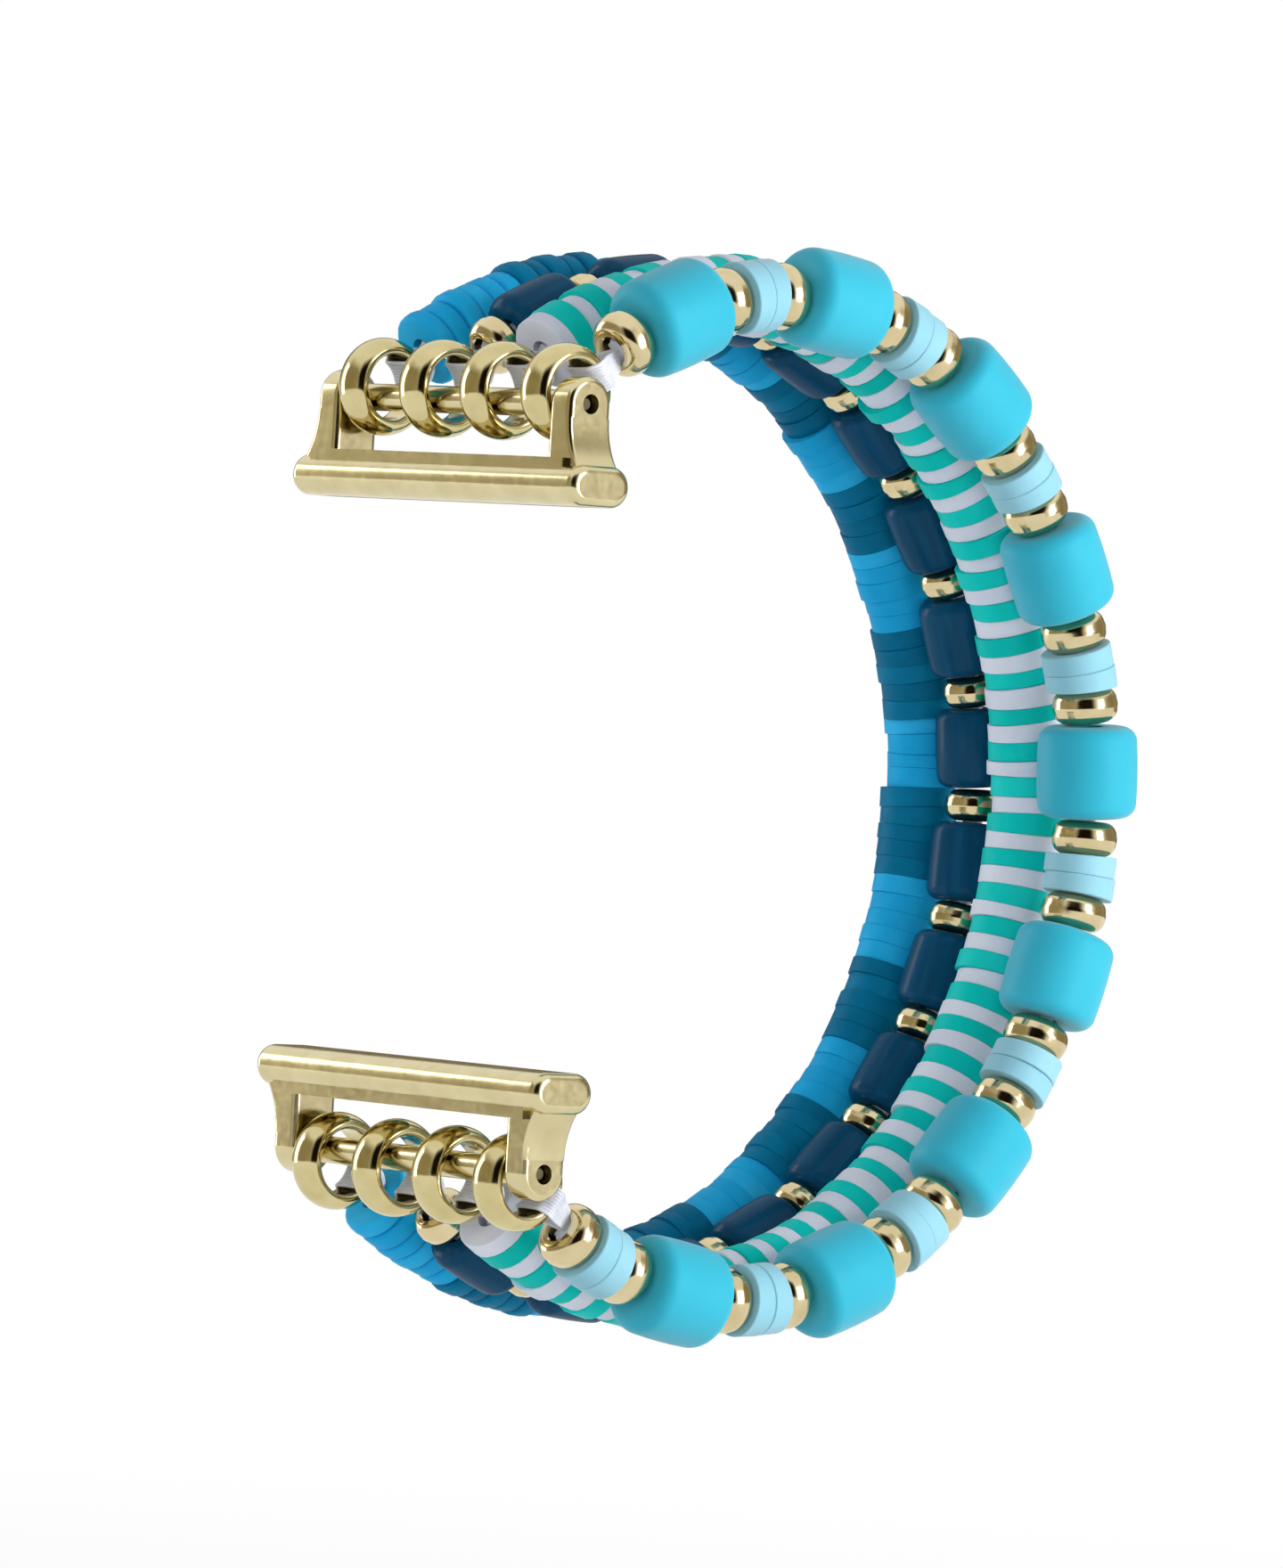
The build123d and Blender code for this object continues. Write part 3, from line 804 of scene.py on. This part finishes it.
def make_elastic(strand):
    """The strand's elastic: a loop at each end and two lengths through the beads, each of which runs
    through one station between two stretches."""
    beads = threaded(bead_nodes(strand))
    upper, back, lower = ([bead for bead in beads if bead.node.endswith(stretch)] for stretch in STRETCHES)
    bodies = [f"strand_{strand}_{stretch}" for stretch in STRETCHES]
    top = loop_threads(f"upper_ring_{strand}", upper[0], 1)
    bottom = loop_threads(f"lower_ring_{strand}", lower[-1], -1)
    pieces = [mesh_object(f"elastic_{strand}_upper_loop", *top)]
    pieces.append(mesh_object(f"elastic_{strand}_lower_loop", *bottom))
    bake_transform(pieces[0])
    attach(pieces[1], bodies[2])
    half = len(back) // 2
    for number, (near, far) in enumerate(((upper, back[:half]), (back[half:], lower))):
        piece = mesh_object(f"elastic_{strand}_run_{number + 1}", *bundle(near + far))
        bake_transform(piece)
        pieces.append(piece)
    for piece in pieces:
        dress(piece, "elastic_white", None)
        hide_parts(f"elastic_cord_{strand}")


# Metal

def make_rings():
    """Eight finished rings in place of the plain ones."""
    for end in ENDS:
        for strand in STRANDS:
            node = f"{end}_ring_{strand}"
            piece = ring_mesh(f"{node}_finished", node)
            dress(piece, "ring_gold", f"{node}_body")
            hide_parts(node)


def dress_nodes():
    """Materials of the nodes that are shown as they are."""
    for end in ENDS:
        for part, finish_name in NODE_FINISHES.items():
            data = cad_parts[f"{end}_{part}"].data
            data.materials.clear()
            data.materials.append(FINISHES[finish_name])


# Camera, floor and light

def direction_of(azimuth, elevation):
    """Direction towards a place that many degrees round from the front and up."""
    a, e = math.radians(azimuth), math.radians(elevation)
    return Vector((math.sin(a) * math.cos(e), -math.cos(a) * math.cos(e), math.sin(e)))


def facing(direction):
    """Upright turn of a camera or lamp that stands in that direction and looks back."""
    return direction.to_track_quat("Z", "Y").to_matrix().to_4x4()


def make_camera():
    """Camera on the sphere round its aim, rolled about its own axis."""
    data = bpy.data.cameras.new("camera")
    data.sensor_width = SENSOR_MM
    data.lens = CAMERA_FOCAL_PX * SENSOR_MM / IMAGE_HEIGHT_PX
    data.clip_start = 0.01
    camera = bpy.data.objects.new("camera", data)
    bpy.context.scene.collection.objects.link(camera)
    back = direction_of(CAMERA_AZIMUTH, CAMERA_ELEVATION)
    place = Matrix.Translation(Vector(CAMERA_AIM) + back * CAMERA_DISTANCE)
    camera.matrix_world = place @ facing(back) @ Matrix.Rotation(math.radians(CAMERA_ROLL), 4, "Z")
    bpy.context.scene.camera = camera


def softbox(name, azimuth, elevation, distance, width, height, power, mirrored):
    """Rectangular lamp facing the band. Mirrors see it only where asked: elsewhere they see
    the surroundings."""
    data = bpy.data.lights.new(name, "AREA")
    data.shape = "RECTANGLE"
    data.size, data.size_y = width, height
    data.energy = power
    lamp = bpy.data.objects.new(name, data)
    lamp.visible_glossy = mirrored
    bpy.context.scene.collection.objects.link(lamp)
    direction = direction_of(azimuth, elevation)
    place = Vector(LOOP_MIDDLE) + direction * distance
    lamp.matrix_world = Matrix.Translation(place) @ facing(direction)


def studio_flag(name, azimuth, half_turn, distance, half_height, code):
    """Curved flag that only mirrors see, upright on a circle round the band: it draws the
    darker bands that polished metal needs. It fades out over its outer half, all round."""
    across, up = np.linspace(-1, 1, FLAG_COLUMNS), np.linspace(-1, 1, FLAG_ROWS)[:, None]
    turn = np.radians(azimuth + half_turn * across)
    x, y = LOOP_MIDDLE[0] + distance * np.sin(turn), LOOP_MIDDLE[1] - distance * np.cos(turn)
    points = np.stack(np.broadcast_arrays(x, y, up * half_height), -1)
    edge = np.sqrt(np.abs(across) ** 4 + np.abs(up) ** 4) ** 0.5
    faces = grid_faces(FLAG_ROWS, FLAG_COLUMNS, False, False)
    flag = mesh_object(name, points, faces, (("flag_edge", edge.ravel()),))
    material, tree, shader = finish(f"{name}_felt", Roughness=1.0, Specular_IOR_Level=0.0)
    shader.inputs["Base Color"].default_value = srgb(code)
    place = add(tree, "ShaderNodeAttribute", attribute_name="flag_edge").outputs["Fac"]
    inputs = {"Value": place, "From Min": 0.5, "From Max": 1.0, "To Min": 1.0, "To Max": 0.0}
    fade = add(tree, "ShaderNodeMapRange", inputs, interpolation_type="SMOOTHSTEP").outputs["Result"]
    tree.links.new(fade, shader.inputs["Alpha"])
    flag.data.materials.append(material)
    flag.visible_camera = False
    flag.visible_diffuse = False
    flag.visible_shadow = False
    flag.visible_transmission = False


def ray_is(tree, *kinds):
    """1 for a ray of any of these kinds, else 0."""
    path = add(tree, "ShaderNodeLightPath")
    share = path.outputs[kinds[0]]
    for kind in kinds[1:]:
        inputs = {0: share, 1: path.outputs[kind]}
        share = add(tree, "ShaderNodeMath", inputs, operation="MAXIMUM").outputs[0]
    return share


def make_floor():
    """Pale floor below the band. Away from the band it turns to the background's white for the
    camera and for mirrors."""
    drop = cad_box[0][2] - FLOOR_DROP
    corners = ((-1, -1), (1, -1), (1, 1), (-1, 1))
    points = np.array([(FLOOR_HALF * x, FLOOR_HALF * y, drop) for x, y in corners])
    floor = mesh_object("floor", points, np.array([[0, 1, 2, 3]]))
    material, tree, shader = finish("pale_floor", Roughness=0.9, Specular_IOR_Level=0.1)
    shader.inputs["Base Color"].default_value = srgb("#fafafa")
    place = add(tree, "ShaderNodeTexCoord").outputs["Object"]
    away = add(tree, "ShaderNodeVectorMath", {0: place}, operation="LENGTH").outputs["Value"]
    inputs = {
        "Value": away,
        "From Min": FLOOR_FADE[0],
        "From Max": FLOOR_FADE[1],
        "To Min": FLOOR_WHITE[0],
        "To Max": FLOOR_WHITE[1],
    }
    white = add(tree, "ShaderNodeMapRange", inputs, interpolation_type="SMOOTHSTEP").outputs["Result"]
    inputs = {0: ray_is(tree, "Is Camera Ray", "Is Glossy Ray"), 1: white}
    share = add(tree, "ShaderNodeMath", inputs, operation="MULTIPLY").outputs[0]
    glow = add(tree, "ShaderNodeEmission", {"Color": (1, 1, 1, 1), "Strength": 1.0})
    mixed = add(tree, "ShaderNodeMixShader", {0: share, 1: shader.outputs[0], 2: glow.outputs[0]})
    tree.links.new(mixed.outputs[0], tree.nodes["Material Output"].inputs["Surface"])
    floor.data.materials.append(material)


def make_world():
    """White surroundings for the camera and mirrors, softer for the light."""
    world = bpy.data.worlds.new("studio")
    world.use_nodes = True
    bpy.context.scene.world = world
    tree = world.node_tree
    seen = ray_is(tree, "Is Camera Ray", "Is Glossy Ray", "Is Transmission Ray")
    inputs = {"Value": seen, "To Min": WORLD_LIGHT, "To Max": 1.0}
    strength = add(tree, "ShaderNodeMapRange", inputs).outputs["Result"]
    tree.links.new(strength, tree.nodes["Background"].inputs["Strength"])
    tree.nodes["Background"].inputs["Color"].default_value = (1, 1, 1, 1)


def make_light():
    """Lamps, and the flags that shape what the metal mirrors."""
    for name, turn, *rest in SOFTBOXES:
        softbox(name, CAMERA_AZIMUTH + turn, *rest)
    for name, turn, *rest in FLAGS:
        studio_flag(name, CAMERA_AZIMUTH + turn, *rest)


make_camera()
make_floor()
make_world()
make_light()
for strand_number in STRANDS:
    make_beads(strand_number)
    make_elastic(strand_number)
make_rings()
dress_nodes()

scene = bpy.context.scene
scene.view_settings.view_transform = "Standard"
bpy.context.view_layer.update()
